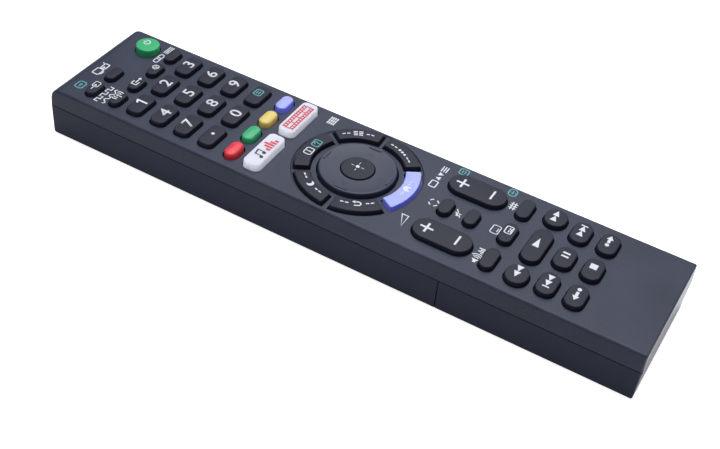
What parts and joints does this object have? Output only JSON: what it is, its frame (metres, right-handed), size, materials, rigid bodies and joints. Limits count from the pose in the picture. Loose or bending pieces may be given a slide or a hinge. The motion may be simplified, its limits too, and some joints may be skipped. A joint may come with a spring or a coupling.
{
  "type": "tv remote control",
  "caption": "Long slim handset with rubber-sprung keys, a round tilting direction pad, two rockers and a sliding battery door on its back.",
  "frame": {"origin": "middle of the face that it rests on, under the middle of its box", "axes": "+Y towards the end that sends the signal, +Z out of the keys, +X to its right"},
  "size_m": [0.044, 0.203, 0.0203],
  "materials": {
    "case_top": "fine moulded grain, satin",
    "case_back": "fine moulded grain",
    "key_dark": "soft matt with pale printed signs",
    "pad_grey": "satin, slightly dished",
    "key_white": "matt white with a printed sign",
    "key_power_green": "satin green with a pale top",
    "key_red": "glossy",
    "key_green": "glossy",
    "key_yellow": "glossy",
    "key_lavender": "satin",
    "mat_rubber": "matt silicone",
    "board_mask": "green mask on laminate",
    "part_black": "moulded",
    "lamp_lens": "clear tinted epoxy",
    "cell_sleeve": "printed sleeve over steel",
    "contact_steel": "nickel plated"
  },
  "bodies": {
    "root": {"top_case": "case_top", "bottom_case": "case_back", "keypad_mat": "mat_rubber", "circuit_board": "board_mask", "board_parts": "part_black", "signal_lamp": "lamp_lens", "battery_cells": "cell_sleeve", "battery_contacts": "contact_steel"},
    "key_0": {"key_0": "key_dark"},
    "key_1": {"key_1": "key_dark"},
    "key_2": {"key_2": "key_dark"},
    "key_3": {"key_3": "key_dark"},
    "key_4": {"key_4": "key_dark"},
    "key_5": {"key_5": "key_dark"},
    "key_6": {"key_6": "key_dark"},
    "key_7": {"key_7": "key_dark"},
    "key_8": {"key_8": "key_dark"},
    "key_9": {"key_9": "key_dark"},
    "key_antenna": {"key_antenna": "key_dark"},
    "key_audio": {"key_audio": "key_dark"},
    "key_blue": {"key_blue": "key_lavender"},
    "key_broadcast": {"key_broadcast": "key_dark"},
    "key_depth": {"key_depth": "key_dark"},
    "key_dot": {"key_dot": "key_dark"},
    "key_exit": {"key_exit": "key_dark"},
    "key_film": {"key_film": "key_white"},
    "key_forward": {"key_forward": "key_dark"},
    "key_green": {"key_green": "key_green"},
    "key_guide": {"key_guide": "key_dark"},
    "key_home": {"key_home": "key_lavender"},
    "key_info": {"key_info": "key_dark"},
    "key_jump": {"key_jump": "key_dark"},
    "key_link": {"key_link": "key_dark"},
    "key_music": {"key_music": "key_white"},
    "key_mute": {"key_mute": "key_dark"},
    "key_next": {"key_next": "key_dark"},
    "key_options": {"key_options": "key_dark"},
    "key_page": {"key_page": "key_dark"},
    "key_pause": {"key_pause": "key_dark"},
    "key_play": {"key_play": "key_dark"},
    "key_power": {"key_power": "key_power_green"},
    "key_previous": {"key_previous": "key_dark"},
    "key_red": {"key_red": "key_red"},
    "key_return": {"key_return": "key_dark"},
    "key_rewind": {"key_rewind": "key_dark"},
    "key_shape": {"key_shape": "key_dark"},
    "key_sleep": {"key_sleep": "key_dark"},
    "key_source": {"key_source": "key_dark"},
    "key_step_back": {"key_step_back": "key_dark"},
    "key_step_forward": {"key_step_forward": "key_dark"},
    "key_stop": {"key_stop": "key_dark"},
    "key_subtitle": {"key_subtitle": "key_dark"},
    "key_yellow": {"key_yellow": "key_yellow"},
    "key_select": {"key_select": "key_dark"},
    "rocker_volume": {"rocker_volume": "key_dark"},
    "rocker_channel": {"rocker_channel": "key_dark"},
    "direction_web": {"direction_web": "part_black"},
    "direction_ring": {"direction_ring": "pad_grey"},
    "battery_door": {"battery_door": "case_back"}
  },
  "joints": [
    {"name": "press_0", "type": "slide", "parent": "root", "child": "key_0", "axis": [0, 0, -1], "range_m": [0, 0.0008], "stiffness_N_per_m": 300, "springref_m": -0.001},
    {"name": "press_1", "type": "slide", "parent": "root", "child": "key_1", "axis": [0, 0, -1], "range_m": [0, 0.0008], "stiffness_N_per_m": 300, "springref_m": -0.001},
    {"name": "press_2", "type": "slide", "parent": "root", "child": "key_2", "axis": [0, 0, -1], "range_m": [0, 0.0008], "stiffness_N_per_m": 300, "springref_m": -0.001},
    {"name": "press_3", "type": "slide", "parent": "root", "child": "key_3", "axis": [0, 0, -1], "range_m": [0, 0.0008], "stiffness_N_per_m": 300, "springref_m": -0.001},
    {"name": "press_4", "type": "slide", "parent": "root", "child": "key_4", "axis": [0, 0, -1], "range_m": [0, 0.0008], "stiffness_N_per_m": 300, "springref_m": -0.001},
    {"name": "press_5", "type": "slide", "parent": "root", "child": "key_5", "axis": [0, 0, -1], "range_m": [0, 0.0008], "stiffness_N_per_m": 300, "springref_m": -0.001},
    {"name": "press_6", "type": "slide", "parent": "root", "child": "key_6", "axis": [0, 0, -1], "range_m": [0, 0.0008], "stiffness_N_per_m": 300, "springref_m": -0.001},
    {"name": "press_7", "type": "slide", "parent": "root", "child": "key_7", "axis": [0, 0, -1], "range_m": [0, 0.0008], "stiffness_N_per_m": 300, "springref_m": -0.001},
    {"name": "press_8", "type": "slide", "parent": "root", "child": "key_8", "axis": [0, 0, -1], "range_m": [0, 0.0008], "stiffness_N_per_m": 300, "springref_m": -0.001},
    {"name": "press_9", "type": "slide", "parent": "root", "child": "key_9", "axis": [0, 0, -1], "range_m": [0, 0.0008], "stiffness_N_per_m": 300, "springref_m": -0.001},
    {"name": "press_antenna", "type": "slide", "parent": "root", "child": "key_antenna", "axis": [0, 0, -1], "range_m": [0, 0.0008], "stiffness_N_per_m": 300, "springref_m": -0.001},
    {"name": "press_audio", "type": "slide", "parent": "root", "child": "key_audio", "axis": [0, 0, -1], "range_m": [0, 0.0008], "stiffness_N_per_m": 300, "springref_m": -0.001},
    {"name": "press_blue", "type": "slide", "parent": "root", "child": "key_blue", "axis": [0, 0, -1], "range_m": [0, 0.0008], "stiffness_N_per_m": 300, "springref_m": -0.001},
    {"name": "press_broadcast", "type": "slide", "parent": "root", "child": "key_broadcast", "axis": [0, 0, -1], "range_m": [0, 0.0008], "stiffness_N_per_m": 300, "springref_m": -0.001},
    {"name": "press_depth", "type": "slide", "parent": "root", "child": "key_depth", "axis": [0, 0, -1], "range_m": [0, 0.0008], "stiffness_N_per_m": 300, "springref_m": -0.001},
    {"name": "press_dot", "type": "slide", "parent": "root", "child": "key_dot", "axis": [0, 0, -1], "range_m": [0, 0.0008], "stiffness_N_per_m": 300, "springref_m": -0.001},
    {"name": "press_exit", "type": "slide", "parent": "root", "child": "key_exit", "axis": [0, 0, -1], "range_m": [0, 0.0008], "stiffness_N_per_m": 300, "springref_m": -0.001},
    {"name": "press_film", "type": "slide", "parent": "root", "child": "key_film", "axis": [0, 0, -1], "range_m": [0, 0.0008], "stiffness_N_per_m": 300, "springref_m": -0.001},
    {"name": "press_forward", "type": "slide", "parent": "root", "child": "key_forward", "axis": [0, 0, -1], "range_m": [0, 0.0008], "stiffness_N_per_m": 300, "springref_m": -0.001},
    {"name": "press_green", "type": "slide", "parent": "root", "child": "key_green", "axis": [0, 0, -1], "range_m": [0, 0.0008], "stiffness_N_per_m": 300, "springref_m": -0.001},
    {"name": "press_guide", "type": "slide", "parent": "root", "child": "key_guide", "axis": [0, 0, -1], "range_m": [0, 0.0008], "stiffness_N_per_m": 300, "springref_m": -0.001},
    {"name": "press_home", "type": "slide", "parent": "root", "child": "key_home", "axis": [0, 0, -1], "range_m": [0, 0.0008], "stiffness_N_per_m": 300, "springref_m": -0.001},
    {"name": "press_info", "type": "slide", "parent": "root", "child": "key_info", "axis": [0, 0, -1], "range_m": [0, 0.0008], "stiffness_N_per_m": 300, "springref_m": -0.001},
    {"name": "press_jump", "type": "slide", "parent": "root", "child": "key_jump", "axis": [0, 0, -1], "range_m": [0, 0.0008], "stiffness_N_per_m": 300, "springref_m": -0.001},
    {"name": "press_link", "type": "slide", "parent": "root", "child": "key_link", "axis": [0, 0, -1], "range_m": [0, 0.0008], "stiffness_N_per_m": 300, "springref_m": -0.001},
    {"name": "press_music", "type": "slide", "parent": "root", "child": "key_music", "axis": [0, 0, -1], "range_m": [0, 0.0008], "stiffness_N_per_m": 300, "springref_m": -0.001},
    {"name": "press_mute", "type": "slide", "parent": "root", "child": "key_mute", "axis": [0, 0, -1], "range_m": [0, 0.0008], "stiffness_N_per_m": 300, "springref_m": -0.001},
    {"name": "press_next", "type": "slide", "parent": "root", "child": "key_next", "axis": [0, 0, -1], "range_m": [0, 0.0008], "stiffness_N_per_m": 300, "springref_m": -0.001},
    {"name": "press_options", "type": "slide", "parent": "root", "child": "key_options", "axis": [0, 0, -1], "range_m": [0, 0.0008], "stiffness_N_per_m": 300, "springref_m": -0.001},
    {"name": "press_page", "type": "slide", "parent": "root", "child": "key_page", "axis": [0, 0, -1], "range_m": [0, 0.0008], "stiffness_N_per_m": 300, "springref_m": -0.001},
    {"name": "press_pause", "type": "slide", "parent": "root", "child": "key_pause", "axis": [0, 0, -1], "range_m": [0, 0.0008], "stiffness_N_per_m": 300, "springref_m": -0.001},
    {"name": "press_play", "type": "slide", "parent": "root", "child": "key_play", "axis": [0, 0, -1], "range_m": [0, 0.0008], "stiffness_N_per_m": 300, "springref_m": -0.001},
    {"name": "press_power", "type": "slide", "parent": "root", "child": "key_power", "axis": [0, 0, -1], "range_m": [0, 0.0008], "stiffness_N_per_m": 300, "springref_m": -0.001},
    {"name": "press_previous", "type": "slide", "parent": "root", "child": "key_previous", "axis": [0, 0, -1], "range_m": [0, 0.0008], "stiffness_N_per_m": 300, "springref_m": -0.001},
    {"name": "press_red", "type": "slide", "parent": "root", "child": "key_red", "axis": [0, 0, -1], "range_m": [0, 0.0008], "stiffness_N_per_m": 300, "springref_m": -0.001},
    {"name": "press_return", "type": "slide", "parent": "root", "child": "key_return", "axis": [0, 0, -1], "range_m": [0, 0.0008], "stiffness_N_per_m": 300, "springref_m": -0.001},
    {"name": "press_rewind", "type": "slide", "parent": "root", "child": "key_rewind", "axis": [0, 0, -1], "range_m": [0, 0.0008], "stiffness_N_per_m": 300, "springref_m": -0.001},
    {"name": "press_shape", "type": "slide", "parent": "root", "child": "key_shape", "axis": [0, 0, -1], "range_m": [0, 0.0008], "stiffness_N_per_m": 300, "springref_m": -0.001},
    {"name": "press_sleep", "type": "slide", "parent": "root", "child": "key_sleep", "axis": [0, 0, -1], "range_m": [0, 0.0008], "stiffness_N_per_m": 300, "springref_m": -0.001},
    {"name": "press_source", "type": "slide", "parent": "root", "child": "key_source", "axis": [0, 0, -1], "range_m": [0, 0.0008], "stiffness_N_per_m": 300, "springref_m": -0.001},
    {"name": "press_step_back", "type": "slide", "parent": "root", "child": "key_step_back", "axis": [0, 0, -1], "range_m": [0, 0.0008], "stiffness_N_per_m": 300, "springref_m": -0.001},
    {"name": "press_step_forward", "type": "slide", "parent": "root", "child": "key_step_forward", "axis": [0, 0, -1], "range_m": [0, 0.0008], "stiffness_N_per_m": 300, "springref_m": -0.001},
    {"name": "press_stop", "type": "slide", "parent": "root", "child": "key_stop", "axis": [0, 0, -1], "range_m": [0, 0.0008], "stiffness_N_per_m": 300, "springref_m": -0.001},
    {"name": "press_subtitle", "type": "slide", "parent": "root", "child": "key_subtitle", "axis": [0, 0, -1], "range_m": [0, 0.0008], "stiffness_N_per_m": 300, "springref_m": -0.001},
    {"name": "press_yellow", "type": "slide", "parent": "root", "child": "key_yellow", "axis": [0, 0, -1], "range_m": [0, 0.0008], "stiffness_N_per_m": 300, "springref_m": -0.001},
    {"name": "press_select", "type": "slide", "parent": "root", "child": "key_select", "axis": [0, 0, -1], "range_m": [0, 0.000699], "stiffness_N_per_m": 300, "springref_m": -0.001},
    {"name": "rock_volume", "type": "hinge", "parent": "root", "child": "rocker_volume", "pos_m": [-0.012, -0.0348, 0.01525], "axis": [1, 0, 0], "range_deg": [-4, 4], "stiffness_Nm_per_rad": 0.2},
    {"name": "rock_channel", "type": "hinge", "parent": "root", "child": "rocker_channel", "pos_m": [0.012, -0.0348, 0.01525], "axis": [1, 0, 0], "range_deg": [-4, 4], "stiffness_Nm_per_rad": 0.2},
    {"name": "tilt_up_down", "type": "hinge", "parent": "root", "child": "direction_web", "pos_m": [0, 0.0002, 0.01575], "axis": [1, 0, 0], "range_deg": [-2.5, 2.5], "stiffness_Nm_per_rad": 0.2},
    {"name": "tilt_left_right", "type": "hinge", "parent": "direction_web", "child": "direction_ring", "pos_m": [0, 0.0002, 0.01575], "axis": [0, 1, 0], "range_deg": [-2.5, 2.5], "stiffness_Nm_per_rad": 0.2},
    {"name": "door_slide", "type": "slide", "parent": "root", "child": "battery_door", "axis": [0, -1, 0], "range_m": [0, 0.06]}
  ]
}
